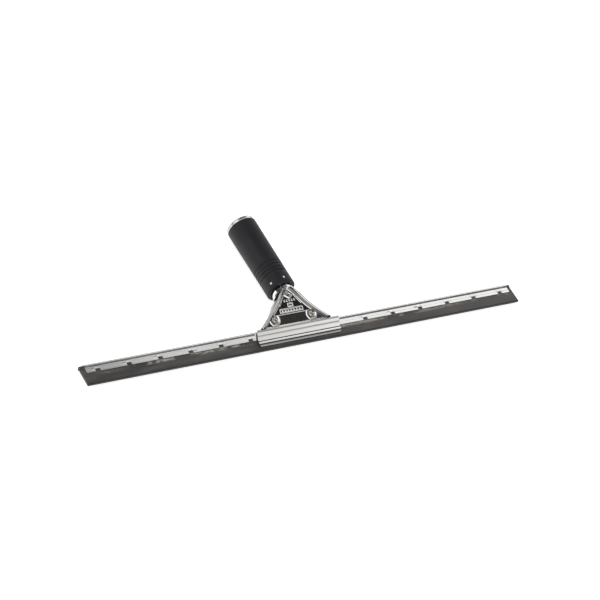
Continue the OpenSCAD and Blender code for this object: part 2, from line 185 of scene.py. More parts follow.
def pathSteps(path):
    # the distance along a path to each of its points
    return np.r_[0, np.cumsum(np.linalg.norm(np.diff(path, axis=0), axis=1))]


def resample(path, count):
    # evenly spaced points along a path
    steps = pathSteps(path)
    at = np.linspace(0, steps[-1], count)
    return np.stack([np.interp(at, steps, path[:, i]) for i in range(path.shape[1])], 1)


def pathNormals(path):
    # unit vectors to the left of a flat path
    d = np.gradient(path, axis=0)
    d /= np.linalg.norm(d, axis=1, keepdims=True)
    return np.stack([-d[:, 1], d[:, 0]], 1)


def gridFaces(rows, columns, wrapRows=False, wrapColumns=False, flip=False):
    # index quads between neighbouring points of a grid
    r = np.arange(rows if wrapRows else rows - 1)[:, None]
    c = np.arange(columns if wrapColumns else columns - 1)[None, :]
    r2, c2 = (r + 1) % rows, (c + 1) % columns
    quads = np.stack(np.broadcast_arrays(r * columns + c, r * columns + c2, r2 * columns + c2,
                                         r2 * columns + c), -1).reshape(-1, 4)
    return quads[:, ::-1] if flip else quads


def makePiece(name, points, faces, body, nodes, solid=False, wall=None, edge=None, angle=40,
              shade=None):
    # points are in millimetres; a solid piece has its normals turned outwards; wall and edge are the
    # thickness and rounding of sheet; edges over the angle, in degrees, stay crisp or are rounded;
    # shade is one number per point of painted shade that the finish can read
    mesh = bpy.data.meshes.new(name)
    mesh.from_pydata((points.reshape(-1, 3) * mm).tolist(), [], faces)
    if shade is not None:
        layer = mesh.attributes.new("shade", "FLOAT", "POINT")
        layer.data.foreach_set("value", shade.ravel().astype(np.float32))
    work = bmesh.new()
    work.from_mesh(mesh)
    bmesh.ops.remove_doubles(work, verts=work.verts, dist=2e-6)
    bmesh.ops.dissolve_degenerate(work, edges=work.edges, dist=1e-6)
    if solid:
        bmesh.ops.recalc_face_normals(work, faces=work.faces)
    work.to_mesh(mesh)
    work.free()
    mesh.shade_smooth()
    piece = bpy.data.objects.new(name, mesh)
    bpy.context.scene.collection.objects.link(piece)
    if wall:
        thicken = piece.modifiers.new("wall", "SOLIDIFY")
        thicken.thickness = wall * mm
        thicken.offset = -1
    if edge:
        bevel = piece.modifiers.new("edge", "BEVEL")
        bevel.width = edge * mm
        bevel.segments = 2
        bevel.limit_method = "ANGLE"
        bevel.angle_limit = math.radians(angle)
        bevel.harden_normals = True
    else:
        mesh.set_sharp_from_angle(angle=math.radians(angle))
    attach(piece, body)
    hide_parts(*nodes)
    return piece


def turnAngles(count):
    # evenly spaced angles of a full turn, as one row
    return np.linspace(0, 2 * math.pi, count, endpoint=False)[None, :]


def lathe(profile, count):
    # a closed outline of (radius, y) points turned about the Y axis: x = r cos a, z = r sin a
    a = turnAngles(count)
    r, y = profile[:, :1], profile[:, 1:]
    points = np.stack([r * np.cos(a), y + 0 * a, r * np.sin(a)], -1)
    return points, gridFaces(len(profile), count, wrapRows=True, wrapColumns=True).tolist()


def sweepAlongX(outline, xs):
    # a closed (y, z) outline carried along X, with a flat face at each end
    n, m = len(outline), len(xs)
    points = np.empty((m, n, 3))
    points[..., 0] = np.asarray(xs)[:, None]
    points[..., 1:] = outline[None]
    faces = gridFaces(m, n, wrapColumns=True).tolist()
    faces += [list(range(n)), list(range((m - 1) * n, m * n))[::-1]]
    return points, faces


def paint(target, finish):
    target.data.materials.clear()
    target.data.materials.append(finish)


print("stage: finishes")


def gripRubber():
    look = {"dark": (0.006, 0.0062, 0.0072, 1), "light": (0.012, 0.0124, 0.015, 1), "grain": 0.5}
    m = newFinish("softBlackRubber")
    coarse = m.noise(m.place((60, 25, 60)), 1.0, 4.0, 0.6)
    fine = m.noise(m.place(), 2600.0, 2.0, 0.5)
    speck = m.noise(m.place(), 420.0, 2.0, 0.6)
    colour = m.blendColour(coarse.step(0.3, 0.7), look["dark"], look["light"])
    rough = 0.42 + 0.12 * coarse + 0.05 * speck
    normal = m.bump(fine * 0.6 + speck * 0.5, look["grain"] * 0.4, 0.0002)
    return m.surface(BaseColor=colour, Roughness=rough, Normal=normal, SpecularIORLevel=0.30,
                     SheenWeight=0.05, SheenRoughness=0.45, SheenTint=(0.75, 0.8, 1.0, 1))


def brushedSteel(name, tint, rough, along="X", spread=0.1, scratch=0.25, shadeBands=()):
    # drawn metal: fine lines along one axis, with a slow change of gloss; bands are strips of painted shade
    # and reflection across an axis, each given as the axis, its middle, half width and depth
    look = {"shadeTone": (0.05, 0.046, 0.043, 1), "shadeShare": 0.9, "bandTone": (0.12, 0.115, 0.11, 1)}
    stretch = {"X": (3, 900, 900), "Y": (900, 3, 900), "ring": (30, 1400, 30)}[along]
    m = newFinish(name)
    lines = m.noise(m.place(stretch), 1.0, 3.0, 0.7)
    slow = m.noise(m.place((14, 30, 30)), 1.0, 3.0, 0.5)
    specks = m.noise(m.place((120, 700, 700)), 1.0, 2.0, 0.5)
    colour = m.blendColour(slow.step(0.25, 0.75), tuple(0.88 * c for c in tint) + (1,), tint + (1,))
    gloss = rough + spread * (lines - 0.5) + 0.08 * (slow - 0.5) + 0.10 * specks.step(0.62, 0.75)
    # painted shade where a piece writes its shade number, as in the rivets' dimples and round their rims
    colour = m.blendColour(look["shadeShare"] * m.shade(), colour, look["shadeTone"])
    # painted shade and reflection along each band
    for way, middle, half, depth in shadeBands:
        colour = m.blendColour(depth * m.axis(way).bell(middle, half), colour, look["bandTone"])
    return m.surface(BaseColor=colour, Metallic=1.0, Roughness=gloss,
                     Normal=m.bump(lines, scratch, 0.00003))


def polishedSteel():
    look = {"tint": (0.90, 0.895, 0.88), "dark": (0.060, 0.058, 0.058, 1), "darkShare": 0.97,
            "gloss": 0.05, "darkGloss": 0.12, "ripple": 0.08}
    m = newFinish("polishedPressedSteel")
    broad = m.noise(m.place(), 55.0, 1.0, 0.4)
    smears = m.noise(m.place((60, 160, 90), (0.3, 0.2, 0.5)), 1.0, 2.0, 0.5)
    colour = m.blendColour(smears.step(0.3, 0.8), tuple(0.92 * c for c in look["tint"]) + (1,),
                           look["tint"] + (1,))
    # painted reflection: darker where the piece's shade number says, standing in for the darker floor, grip
    # and sleeve rim mirrored in the steel
    shade = m.shade()
    colour = m.blendColour(look["darkShare"] * shade, colour, look["dark"])
    gloss = look["gloss"] + 0.04 * smears.step(0.5, 0.85) + look["darkGloss"] * shade
    return m.surface(BaseColor=colour, Metallic=1.0, Roughness=gloss,
                     Normal=m.bump(broad, look["ripple"], 0.0006))


def bladeRubber():
    # scuffs lie in a band along the blade, the right half is lighter, and the tip's lowest edge carries
    # painted shadow
    look = {"body": (0.043, 0.040, 0.037, 1), "bloom": (0.085, 0.082, 0.078, 1),
            "scuff": (0.36, 0.34, 0.32, 1), "scuffMiddle": -142.6, "scuffHalf": 3.2,
            "worn": (0.115, 0.107, 0.10, 1), "wornFrom": 20, "wornTo": 220, "wornShare": 0.5,
            "tip": (0.012, 0.012, 0.012, 1), "tipStart": -152.7, "tipSoft": 0.7}
    m = newFinish("squeegeeRubber")
    x, y = m.axis("X"), m.axis("Y")
    cloud = m.noise(m.place((22, 120, 60)), 1.0, 4.0, 0.55)
    streak = m.noise(m.place((160, 900, 500)), 1.0, 4.0, 0.65)
    colour = m.blendColour(cloud.step(0.35, 0.75), look["body"], look["bloom"])
    band = y.bell(look["scuffMiddle"], look["scuffHalf"])
    patches = m.noise(m.place((42, 60, 60)), 1.0, 3.0, 0.6).step(0.45, 0.55)
    marks = band * patches * streak.step(0.36, 0.56)
    colour = m.blendColour(marks, colour, look["scuff"])
    worn = look["wornShare"] * x.step(look["wornFrom"], look["wornTo"])
    colour = m.blendColour(worn, colour, look["worn"])
    # painted shadow along the tip's lowest edge, where its bottom face lies in shade
    edge = (look["tipStart"] - y).step(0, look["tipSoft"])
    colour = m.blendColour(edge, colour, look["tip"])
    rough = 0.55 + 0.18 * streak - 0.12 * edge + 0.1 * marks
    normal = m.bump(streak, 0.15, 0.00006)
    return m.surface(BaseColor=colour, Roughness=rough, Normal=normal, SpecularIORLevel=0.4)


def socketPlastic():
    look = {"dark": (0.010, 0.010, 0.011, 1), "light": (0.017, 0.017, 0.018, 1)}
    m = newFinish("socketPlastic")
    cloud = m.noise(m.place((200, 60, 200)), 1.0, 3.0, 0.5)
    colour = m.blendColour(cloud.step(0.3, 0.7), look["dark"], look["light"])
    return m.surface(BaseColor=colour, Roughness=0.38 + 0.15 * cloud, SpecularIORLevel=0.5,
                     Normal=m.bump(m.noise(m.place(), 1800.0), 0.12, 0.00005))


finishes = {
    "grip_rubber": gripRubber(),
    # the ring's bands are painted shade and reflection: a darker rounded front, a dark line where it meets
    # the sleeve and a darker left side
    "end_ring_metal": brushedSteel("satinRing", (0.97, 0.965, 0.955), 0.22, "ring", 0.08, 0.1,
                                   [("Y", 0.0, 3.0, 0.85), ("Y", -4.1, 0.4, 0.5), ("X", -17, 7, 0.45)]),
    "tube_steel": brushedSteel("tubeSteel", (0.62, 0.62, 0.62), 0.32, "Y", 0.1, 0.2),
    "socket_plastic": socketPlastic(),
    "pin_steel": brushedSteel("pinSteel", (0.96, 0.95, 0.93), 0.26, "Y", 0.05, 0.1),
    "polished_steel": polishedSteel(),
    # the jaw's bands are painted reflections: darker strips along its face
    "satin_steel": brushedSteel("jawSteel", (0.95, 0.94, 0.92), 0.17, "X", 0.06, 0.10,
                                 [("Y", -132.8, 2.1, 0.78), ("Y", -138.2, 2.0, 0.7),
                                  ("Y", -144.6, 0.8, 0.5), ("Y", -148.2, 1.8, 0.7)]),
    "rivet_steel": brushedSteel("rivetSteel", (0.74, 0.67, 0.60), 0.06, "ring", 0.03, 0.02),
    "spring_steel": brushedSteel("springSteel", (0.50, 0.50, 0.51), 0.30, "X", 0.1, 0.2),
    "lever_steel": brushedSteel("leverSteel", (0.76, 0.755, 0.745), 0.26, "X", 0.10, 0.25),
    # the channel's bands are painted shade and reflection: a darker top band, dark lines at the crease and
    # the bead, and a darker left end
    "channel_steel": brushedSteel("channelSteel", (0.96, 0.955, 0.94), 0.20, "X", 0.08, 0.15,
                                   [("Y", -130.9, 2.3, 0.7), ("Y", -134.3, 0.6, 0.3),
                                    ("Y", -138.0, 0.6, 0.3), ("X", -330, 210, 0.45)]),
    "blade_rubber": bladeRubber(),
}

# places that several pieces share, in millimetres: first those along Y, then the blade's and rivets'
sleeveEnd, headBase, flareTop = -92.6, -130.0, -98.2
channelTop, pinchY, lipEnd, bladeTip, jawEnd = -130.4, -134.6, -141.0, -154.2, -149.8
bladeZ = -11.7
rivetSpots, rivetY, rivetZ = [-23.3, 23.3], -122.7, -6.1
panelTilt = math.radians(30.1)


def panelFront(y):
    # the panel's plane rises with the slope from the rivets' line
    return rivetZ + (y - rivetY) * math.tan(panelTilt)


print("stage: grip")


def makeSleeve():
    size = {"top": -4.0, "endRadius": 16.3, "endEdge": 0.5, "neckRadius": 15.9, "roundEnd": 1.7,
            "bore": 13.25, "lipBore": 12.4, "lipHeight": 2.35, "lipEdge": 0.3, "waist": 22,
            "waistGrowth": 0.05, "grooveStart": -62.0, "grooves": 4, "pitch": 4.4, "grooveWidth": 1.6,
            "grooveReach": 1.3, "grooveDepth": 0.8, "pinY": -86.2, "pins": 6, "windowWall": (1.50, 1.76),
            "windowReach": 2.1, "windowTurn": 0.14, "windowDepth": 2.3}
    top, low, pinY = size["top"], sleeveEnd, size["pinY"]
    # outside: a straight taper with a rounded head end; each groove is a bell-shaped dip
    rounding = arcPoints((size["neckRadius"] - size["roundEnd"], low + size["roundEnd"]), size["roundEnd"],
                         -90, 0, 8)
    grooveY = size["grooveStart"] - np.arange(size["grooves"]) * size["pitch"]
    # rows gather at the grooves and the pins' windows
    fine = (grooveY[:, None] + size["grooveReach"] * np.linspace(-1, 1, 15)[None]).ravel()
    window = pinY + size["windowReach"] * np.linspace(-1, 1, 33)
    ys = np.unique(np.r_[np.linspace(low + size["roundEnd"] + 0.3, top - 0.6, 34), fine, window])
    r = np.interp(ys, [low, low + size["waist"], top],
                  [size["neckRadius"], size["neckRadius"] + size["waistGrowth"], size["endRadius"]])
    width = size["grooveWidth"]
    dip = np.exp(-((ys[:, None] - grooveY[None] + width / 2) / (0.42 * width)) ** 4)
    r = r - size["grooveDepth"] * dip.max(1)
    edge = size["endEdge"]
    outside = np.concatenate([rounding, np.stack([r, ys], 1),
                              arcPoints((size["endRadius"] - edge, top - edge), edge, 0, 90, 4)])
    inside = np.array([[size["bore"], top], [size["bore"], low + size["lipHeight"]],
                       [size["lipBore"], low + size["lipHeight"]], [size["lipBore"], low + size["lipEdge"]],
                       [size["lipBore"] + size["lipEdge"], low]])
    profile = np.concatenate([outside, inside])
    # columns gather at the windows too, so that their walls are crisp
    turn = 2 * math.pi
    centres = np.arange(size["pins"]) * turn / size["pins"] + math.pi / 2
    near = (centres[:, None] + size["windowTurn"] * np.linspace(-1, 1, 29)[None]).ravel()
    a = np.unique(np.round(np.r_[turnAngles(180)[0], near % turn], 5))
    rr = np.repeat(profile[:, :1], len(a), 1)
    yy = np.repeat(profile[:, 1:], len(a), 1)
    # a window is a round well: the distance from the pin's axis decides the depth
    gap = (a[None, :, None] - centres[None, None] + math.pi) % turn - math.pi
    distance = np.sqrt((gap * rr[..., None]) ** 2 + (yy[..., None] - pinY) ** 2).min(-1)
    outer = np.zeros(len(profile), bool)
    outer[len(rounding):len(rounding) + len(ys)] = True
    rr = rr - outer[:, None] * size["windowDepth"] * (1 - smooth(*size["windowWall"], distance))
    points = np.stack([rr * np.cos(a)[None], yy, rr * np.sin(a)[None]], -1)
    faces = gridFaces(len(profile), len(a), wrapRows=True, wrapColumns=True)
    return makePiece("grip_sleeve_moulded", points, faces, "handle", ["grip_sleeve"],
                     solid=True, angle=50)


def makeEndRing():
    size = {"radius": 16.3, "round": 1.5, "bore": 13.25, "boreEdge": 0.35, "length": 4.0, "step": 0.12}
    r, n, bend, step = size["radius"], size["length"], size["round"], size["step"]
    bore, edge = size["bore"], size["boreEdge"]
    # a rounded front, a small step behind it and a short cylinder that meets the sleeve
    profile = np.concatenate([
        [[bore, -n], [r - 0.25, -n], [r - 0.02, -n + 0.22], [r, -n + 0.5]],
        [[r, -bend - 0.35], [r - step, -bend - 0.2]],
        arcPoints((r - bend - step, -bend), bend, 0, 90, 10),
        [[bore + edge, 0], [bore, -edge]]])
    points, faces = lathe(profile, 128)
    return makePiece("grip_end_ring_turned", points, faces, "handle", ["grip_end_ring"],
                     solid=True, angle=35)


paint(makeSleeve(), finishes["grip_rubber"])
paint(makeEndRing(), finishes["end_ring_metal"])

print("stage: head")

headSize = {
    "neckRadius": 12.0, "neckLow": 26.0, "neckHigh": 37.0, "neckEnd": -73.6, "baseHalf": 45.5,
    "flare": 1.32, "height": 31.8, "top": 38.5, "back": -10.0, "sheet": 1.2, "wallBow": 0.5,
    "shoulder": 0.9, "shoulderHeight": 31, "shoulderSpread": 6.0, "crestInset": 4.0, "crestNarrow": 1.6,
    "narrowHeight": (25, 34), "ridgeHalf": 1.7, "ridgeDrop": 0.95,
    "crestHeights": ([0, 8.5, 18.5, 24.5, 31, 34, 40], [-5.0, -1.3, 4.0, 7.4, 10.6, 11.3, 11.6]),
    "archStart": 21.0, "archEnd": 33.4, "slopeWidth": 2.7, "tabStep": 1.44, "tabTop": 10.6,
}
# where the painted shade stripes fade: shares across each ridge, down the slope and up the wall, then
# heights
headShade = {"left": (0.02, 0.12), "leftNearNeck": (0.38, 0.54), "leftFoot": (0.86, 0.97),
             "right": (0.40, 0.60), "rightFoot": (0.78, 0.92), "footDepth": 0.85, "slope": (0.25, 0.75),
             "bandStart": (0.03, 0.10), "bandEnd": (0.50, 0.64), "bandHeight": (22, 28), "neck": (27, 31)}


def headHalf(h):
    # the flare: the neck's radius plus a power of the distance to the flare's top
    r, base = headSize["neckRadius"], headSize["baseHalf"]
    return r + (base - r) * np.clip(1 - h / headSize["height"], 0, 1) ** headSize["flare"]


def emblems(x, h):
    # raised plain shapes on the panel: a lozenge, a row of short ribs, a small frame, a wide frame with
    # ribs in it, and a bead along each side
    size = {"high": 0.35, "soft": 0.22, "lozenge": (6.4, 27.2, 3.9), "upperPitch": 3.1, "lowerPitch": 3.6}
    high = size["high"]

    def box(cx, cy, w, t):
        inside = 1 - smooth(w - size["soft"], w + size["soft"], abs(x - cx))
        return inside * (1 - smooth(t - size["soft"], t + size["soft"], abs(h - cy)))

    def ribs(pitch):
        return smooth(-0.25, 0.25, np.cos(x * 2 * math.pi / pitch))

    half, middle, tall = size["lozenge"]
    lozenge = abs(x) / half + abs(h - middle) / tall
    z = 0.75 * (1 - smooth(0.66, 1.04, lozenge)) - 0.5 * (1 - smooth(0.30, 0.5, lozenge))
    z = z + high * box(0.5, 22.3, 7.6, 0.75) * ribs(size["upperPitch"])
    z = z + high * (box(0, 18.2, 3.5, 1.6) - 0.9 * box(0, 18.2, 2.6, 0.8))
    z = z + high * (box(0.5, 13.7, 14.0, 1.75) - box(0.5, 13.7, 13.4, 1.25))
    z = z + high * box(0.5, 13.7, 12.7, 0.85) * ribs(size["lowerPitch"])
    line = abs(abs(x) - (6.6 + (26.5 - h) * 0.85))
    bead = (1 - smooth(0.35, 0.75, line)) * smooth(17.6, 19.0, h) * (1 - smooth(25.5, 27.0, h))
    return z + 0.4 * bead


def makeHead():
    s, paintAt = headSize, headShade
    hs = np.unique(np.r_[np.linspace(0, 10.0, 30), np.linspace(10.0, s["top"], 118)])
    h = hs[:, None]
    y = headBase + h
    r = s["neckRadius"]
    # k turns the flared section into the neck's circle
    k = smooth(s["neckLow"], s["neckHigh"], h)
    w = headHalf(h) + s["shoulder"] * np.exp(-((h - s["shoulderHeight"]) / s["shoulderSpread"]) ** 2)
    crestX = w - s["crestInset"] - s["crestNarrow"] * smooth(*s["narrowHeight"], h)
    # the crest's heights, with their corners averaged away
    crestH = np.linspace(-2, 42, 400)
    crest = np.pad(np.interp(crestH, *s["crestHeights"]), 20, "reflect", reflect_type="odd")
    crestZ = np.interp(h, crestH, np.convolve(crest, np.ones(41) / 41, "valid"))
    outX, inX = crestX + s["ridgeHalf"], crestX - s["ridgeHalf"]

    def onNeck(x):
        return np.sqrt(np.maximum(r * r - x * x, 0.01))

    # side wall: a straight line with a slight bow, turning into the neck's circle
    a = np.linspace(0, 1, 13)[None, :-1]
    lineX = w + (outX - w) * a + s["wallBow"] * np.sin(math.pi * a)
    lineZ = s["back"] + (crestZ - s["ridgeDrop"] - s["back"]) * a
    turn0, turn1 = math.asin(s["back"] / r), np.arccos(np.clip(outX / r, -1, 1))
    phi = turn0 + (turn1 - turn0) * a
    wall = (lineX + (r * np.cos(phi) - lineX) * k, lineZ + (r * np.sin(phi) - lineZ) * k)
    # ridge: a parabola across the crest
    b = np.linspace(0, 1, 17)[None, :-1]
    ridgeX = outX + (inX - outX) * b
    ridgeZ = crestZ - s["ridgeDrop"] * (1 - 2 * b) ** 2
    ridge = (ridgeX, ridgeZ + (onNeck(ridgeX) - ridgeZ) * k)
    # recess: the panel's plane inside an arched outline, eased up to the ridge
    c = np.r_[np.linspace(0, 0.16, 14)[:-1], np.linspace(0.16, 1, 92)][None]
    innerX = inX * (1 - c)
    rim = crestZ - s["ridgeDrop"]
    rim = rim + (onNeck(innerX) - rim) * k
    q = np.clip((h - s["archStart"]) / (s["archEnd"] - s["archStart"]), 0, 1)
    outline = inX * np.sqrt(1 - q * q)
    t = np.clip((outline - abs(innerX)) / s["slopeWidth"], 0, 1) * (h < s["archEnd"])
    floor = panelFront(y) - s["tabStep"] * smooth(s["tabTop"] + 0.15, s["tabTop"] - 0.25, h)
    raised = emblems(innerX, h) * (h > s["tabTop"])
    recess = rim + (floor + raised - rim) * (1 - (1 - t) ** 2.2)
    x = np.concatenate([wall[0] + 0 * h, ridge[0], innerX], 1)
    z = np.concatenate([wall[1], ridge[1], recess], 1)
    xs = np.concatenate([-x, x[:, -2::-1]], 1)
    zs = np.concatenate([z, z[:, -2::-1]], 1)
    points = np.stack([xs, y + 0 * xs, zs], -1)
    # painted shade, standing in for dark reflections: the wall but for a band near the neck, the outer part
    # and foot of each ridge, and the top of the recess's slope with the neck's front beside its middle line
    nearNeck = smooth(*paintAt["neck"], h)
    brightBand = smooth(*paintAt["bandStart"], a) * (1 - smooth(*paintAt["bandEnd"], a))
    wallShade = 1 - brightBand * smooth(*paintAt["bandHeight"], h)
    fades = zip(paintAt["left"], paintAt["leftNearNeck"])
    start, end = (away + (near - away) * nearNeck for away, near in fades)
    leftRidgeShade = 1 - smooth(start, end, b) + paintAt["footDepth"] * smooth(*paintAt["leftFoot"], b)
    rightRidgeShade = 1 - smooth(*paintAt["right"], b) + paintAt["footDepth"] * smooth(*paintAt["rightFoot"], b)
    rightRidgeShade = rightRidgeShade * (1 - nearNeck)
    slopeShade = paintAt["footDepth"] * (1 - smooth(*paintAt["slope"], t)) * (abs(innerX) > 1)
    shade = np.concatenate([wallShade, leftRidgeShade, slopeShade, slopeShade[:, -2::-1], rightRidgeShade[:, ::-1],
                            wallShade[:, ::-1]], 1)
    shell = makePiece("head_frame_pressed", points, gridFaces(len(hs), xs.shape[1]), "handle",
                      ["head_frame"], wall=s["sheet"], edge=0.22, angle=60, shade=shade)
    # the neck's tube, which the sleeve hides for most of its length
    ys = np.linspace(flareTop + 0.9, s["neckEnd"], 40)
    outer = np.stack([np.full(len(ys), r - 0.04), ys], 1)
    inner = np.stack([np.full(len(ys), r - s["sheet"]), ys[::-1]], 1)
    points, faces = lathe(np.concatenate([outer, inner]), 144)
    neck = makePiece("head_neck_drawn", points, faces, "handle", ["head_frame"],
                     solid=True, angle=40)
    return shell, neck


for piece in makeHead():
    paint(piece, finishes["polished_steel"])

print("stage: jaws and rivets")


def jawPath():
    # middle line of the front jaw: inturned lip, face, wrap over the shoulder, valley and sloping tab
    size = {"face": -7.45, "wrapRadius": 2.95, "wrapTurn": 50, "valley": (-128.67, -10.25),
            "tabEnd": (-119.47, -4.92), "lip": [(jawEnd, -9.5), (-147.6, -7.45), (-146.0, -7.45)]}
    a = np.radians(np.linspace(0, size["wrapTurn"], 12))
    shoulder = np.array([channelTop - 2, bladeZ + 1.3])
    wrap = shoulder + size["wrapRadius"] * np.stack([np.sin(a), np.cos(a)], 1)
    corner = roundCorners([wrap[-1], size["valley"], size["tabEnd"]], 1.0, 9, closed=False)
    lip = roundCorners(size["lip"], 0.9, 7, closed=False)
    return np.concatenate([lip, [[-140.0, size["face"]]], wrap, corner[1:]])


def makeFrontJaw():
    size = {"half": 52.0, "sheet": 1.2, "corner": 2.4, "tabGap": 0.35, "margin": 6.0, "tabCorner": 1.5,
            "creaseY": -144.6, "creaseDepth": 0.5, "creaseWidth": 0.45, "stepTop": -136.4,
            "stepLow": -139.4, "stepDepth": 0.5, "faceTop": -133, "lean": 4.0, "leanFrom": -129.5,
            "leanTo": -147.0, "cupRadius": 5.75, "cupHeight": 0.55, "cupSpread": 0.75, "cupEnd": -128.0,
            "dishWall": (4.2, 5.6), "dishDepth": 0.25, "rows": 120, "columns": 261}
    path = resample(jawPath(), size["rows"])
    # the sheet's front side is half its thickness out from the middle line, outwards being the side
    # that faces forward half way along
    out = pathNormals(path)
    out *= np.sign(out[len(path) // 2, 1])
    front = path + out * size["sheet"] / 2
    y = front[:, 0]
    # a crease near the lip, and a shallow step down along the middle of the face
    relief = -size["creaseDepth"] * np.exp(-((y - size["creaseY"]) / size["creaseWidth"]) ** 2)
    relief -= size["stepDepth"] * smooth(size["stepTop"], size["stepLow"], y)
    relief *= y < size["faceTop"]
    front = front + out * relief[:, None]

    def cornerLoss(distance, radius):
        # how far a round corner draws the side in, at a distance from the sheet's edge
        inside = np.maximum(radius ** 2 - (radius - distance) ** 2, 0)
        return np.where(distance < radius, radius - np.sqrt(inside), 0)

    # half-width: full along the face, and inside the head's recess on the tab
    half = size["half"] - cornerLoss(pathSteps(path), size["corner"])
    onTab = path[:, 0] > headBase + 0.02
    tabHalf = headHalf(path[:, 0] - headBase) - size["margin"] - size["tabGap"]
    tabHalf -= cornerLoss(np.linalg.norm(path - path[-1], axis=1), size["tabCorner"])
    wide = np.where(onTab, tabHalf, half)[:, None] * np.linspace(-1, 1, size["columns"])[None, :]
    # the two ends lean: the face's lower edge sits further left than its shoulder
    lean = smooth(size["leanFrom"], size["leanTo"], y) * 1.4 - 0.4
    wide = wide - size["lean"] * lean[:, None] * (~onTab)[:, None]
    points = np.stack(np.broadcast_arrays(wide, front[:, :1], front[:, 1:]), -1)
    # round cups about the rivets: a raised rim with a dished floor
    panelNormal = np.array([0, -math.sin(panelTilt), math.cos(panelTilt)])
    for spot in rivetSpots:
        d = np.linalg.norm(points - np.array([spot, rivetY, rivetZ]), axis=2)
        cup = size["cupHeight"] * np.exp(-((d - size["cupRadius"]) / size["cupSpread"]) ** 2)
        cup = cup - size["dishDepth"] * (1 - smooth(*size["dishWall"], d))
        points = points + (cup * (points[..., 1] > size["cupEnd"]))[..., None] * panelNormal
    return makePiece("front_jaw_pressed", points, gridFaces(len(path), size["columns"]), "handle",
                     ["front_jaw"], wall=size["sheet"], edge=0.12, angle=50)


def makeRivet(name, spot):
    size = {"head": 4.0, "height": 1.7, "rim": 0.25, "shank": 1.6, "tail": 5.4, "clench": 2.4, "dish": 0.5,
            "dishRadius": 1.9, "petals": 3, "petalHeight": 0.42, "petalRadius": 2.4, "petalSpread": 0.9,
            "rimShade": 0.85, "rimFade": (3.0, 3.5), "petalFade": (3.2, 2.6), "columns": 72}
    # (radius, height) profile: clenched tail, shank and dished domed head, closed at both poles
    r = np.linspace(0, size["head"], 26)
    dome = size["height"] * (1 - (r / size["head"]) ** 2.2)
    dome -= size["dish"] * (1 - smooth(0, size["dishRadius"], r))
    dome[-1] = size["rim"]
    tail, shank, clench = -size["tail"], size["shank"], size["clench"]
    below = [[0, tail], [clench - 0.5, tail], [clench - 0.1, tail + 0.25], [clench, tail + 0.8],
             [shank, tail + 0.9], [shank, 0.0], [size["head"] - size["rim"], 0.0]]
    profile = np.concatenate([below, np.stack([r, np.maximum(dome, 0.0)], 1)[::-1]])
    a = turnAngles(size["columns"])
    radius, height = profile[:, :1] + 0 * a, profile[:, 1:] + 0 * a
    # hammered dimples: waves about the head, strongest half way out
    wave = np.sin(size["petals"] * a + radius)
    petals = size["petalHeight"] * wave * (height > 0.3)
    petals *= np.exp(-((radius - size["petalRadius"]) / size["petalSpread"]) ** 2)
    points = np.stack([radius * np.cos(a), radius * np.sin(a), height + petals], -1)
    # painted shade, standing in for dark reflections, in the dimples and round the rim
    shade = size["rimShade"] * smooth(*size["rimFade"], radius)
    shade += (0.5 - 0.5 * wave) * smooth(*size["petalFade"], radius)
    turn = np.array(Matrix.Rotation(panelTilt, 3, "X"))
    points = points @ turn.T + np.array([spot, rivetY, rivetZ])
    faces = gridFaces(len(profile), size["columns"], wrapColumns=True)
    return makePiece(name + "_domed", points, faces, "handle", [name], solid=True, angle=55,
                     shade=shade)


paint(makeFrontJaw(), finishes["satin_steel"])
for name, spot in zip(["jaw_rivet_left", "jaw_rivet_right"], rivetSpots):
    paint(makeRivet(name, spot), finishes["rivet_steel"])

print("stage: channel and rubber")


def makeChannel():
    size = {"low": -258.4, "high": 281.6, "sheet": 0.7, "bulb": 3.3, "lip": 2.2, "round": 2.0,
            "topHalf": 1.9, "beadY": -138.0, "bead": 0.1, "beadWidth": 0.55, "notches": 15, "pitch": 36.7,
            "notchWidth": 5.5, "notchHeight": 3.0, "notchSoft": 0.07}
    bulb, lip = size["bulb"], size["lip"]
    # half outline from the front lip's end up to the top, then mirrored to the back
    side = np.array([[lipEnd, lip], [pinchY, lip], [pinchY + bulb - lip, bulb],
                     [channelTop - size["round"], bulb], [channelTop, size["topHalf"]]])
    radius = np.array([0.1, 0.7, 0.6, 1.1, 0.9])
    path = roundCorners(np.concatenate([side, (side * [1, -1])[::-1]]), np.r_[radius, radius[::-1]], 7,
                        closed=False)
    path = resample(path, 96)
    # outwards is the side that faces forward on the front lip
    out = pathNormals(path)
    out *= np.sign(out[5, 1])
    # a fine raised line along the lips
    y = path[:, 0]
    bead = size["bead"] * np.exp(-((y - size["beadY"]) / size["beadWidth"]) ** 2) * (y < pinchY - 1)
    path = path + out * bead[:, None]
    # notches: near each one the lips' lower rows rise to the notch's height
    middle, width, soft = (size["low"] + size["high"]) / 2, size["notchWidth"], size["notchSoft"]
    centres = middle + (np.arange(size["notches"]) - (size["notches"] - 1) / 2) * size["pitch"]
    steps = np.array([-0.5, -0.5, -0.2, 0.2, 0.5, 0.5]) * width + [-0.06, 0.06, 0, 0, -0.06, 0.06]
    near = (centres[:, None] + steps[None]).ravel()
    xs = np.unique(np.round(np.r_[np.linspace(size["low"], size["high"], 91), near], 3))
    gap = abs(xs[:, None] - centres[None]).min(1)
    rise = size["notchHeight"] * (1 - smooth(width / 2 - soft, width / 2 + soft, gap))[:, None]
    yy = y[None] + rise * np.clip((pinchY - y) / (pinchY - lipEnd), 0, 1)[None]
    points = np.stack(np.broadcast_arrays(xs[:, None], yy, bladeZ + path[None, :, 1]), -1)
    return makePiece("channel_rolled", points, gridFaces(len(xs), len(path), flip=True), "channel_bar",
                     ["channel"], wall=size["sheet"], edge=0.1, angle=50)


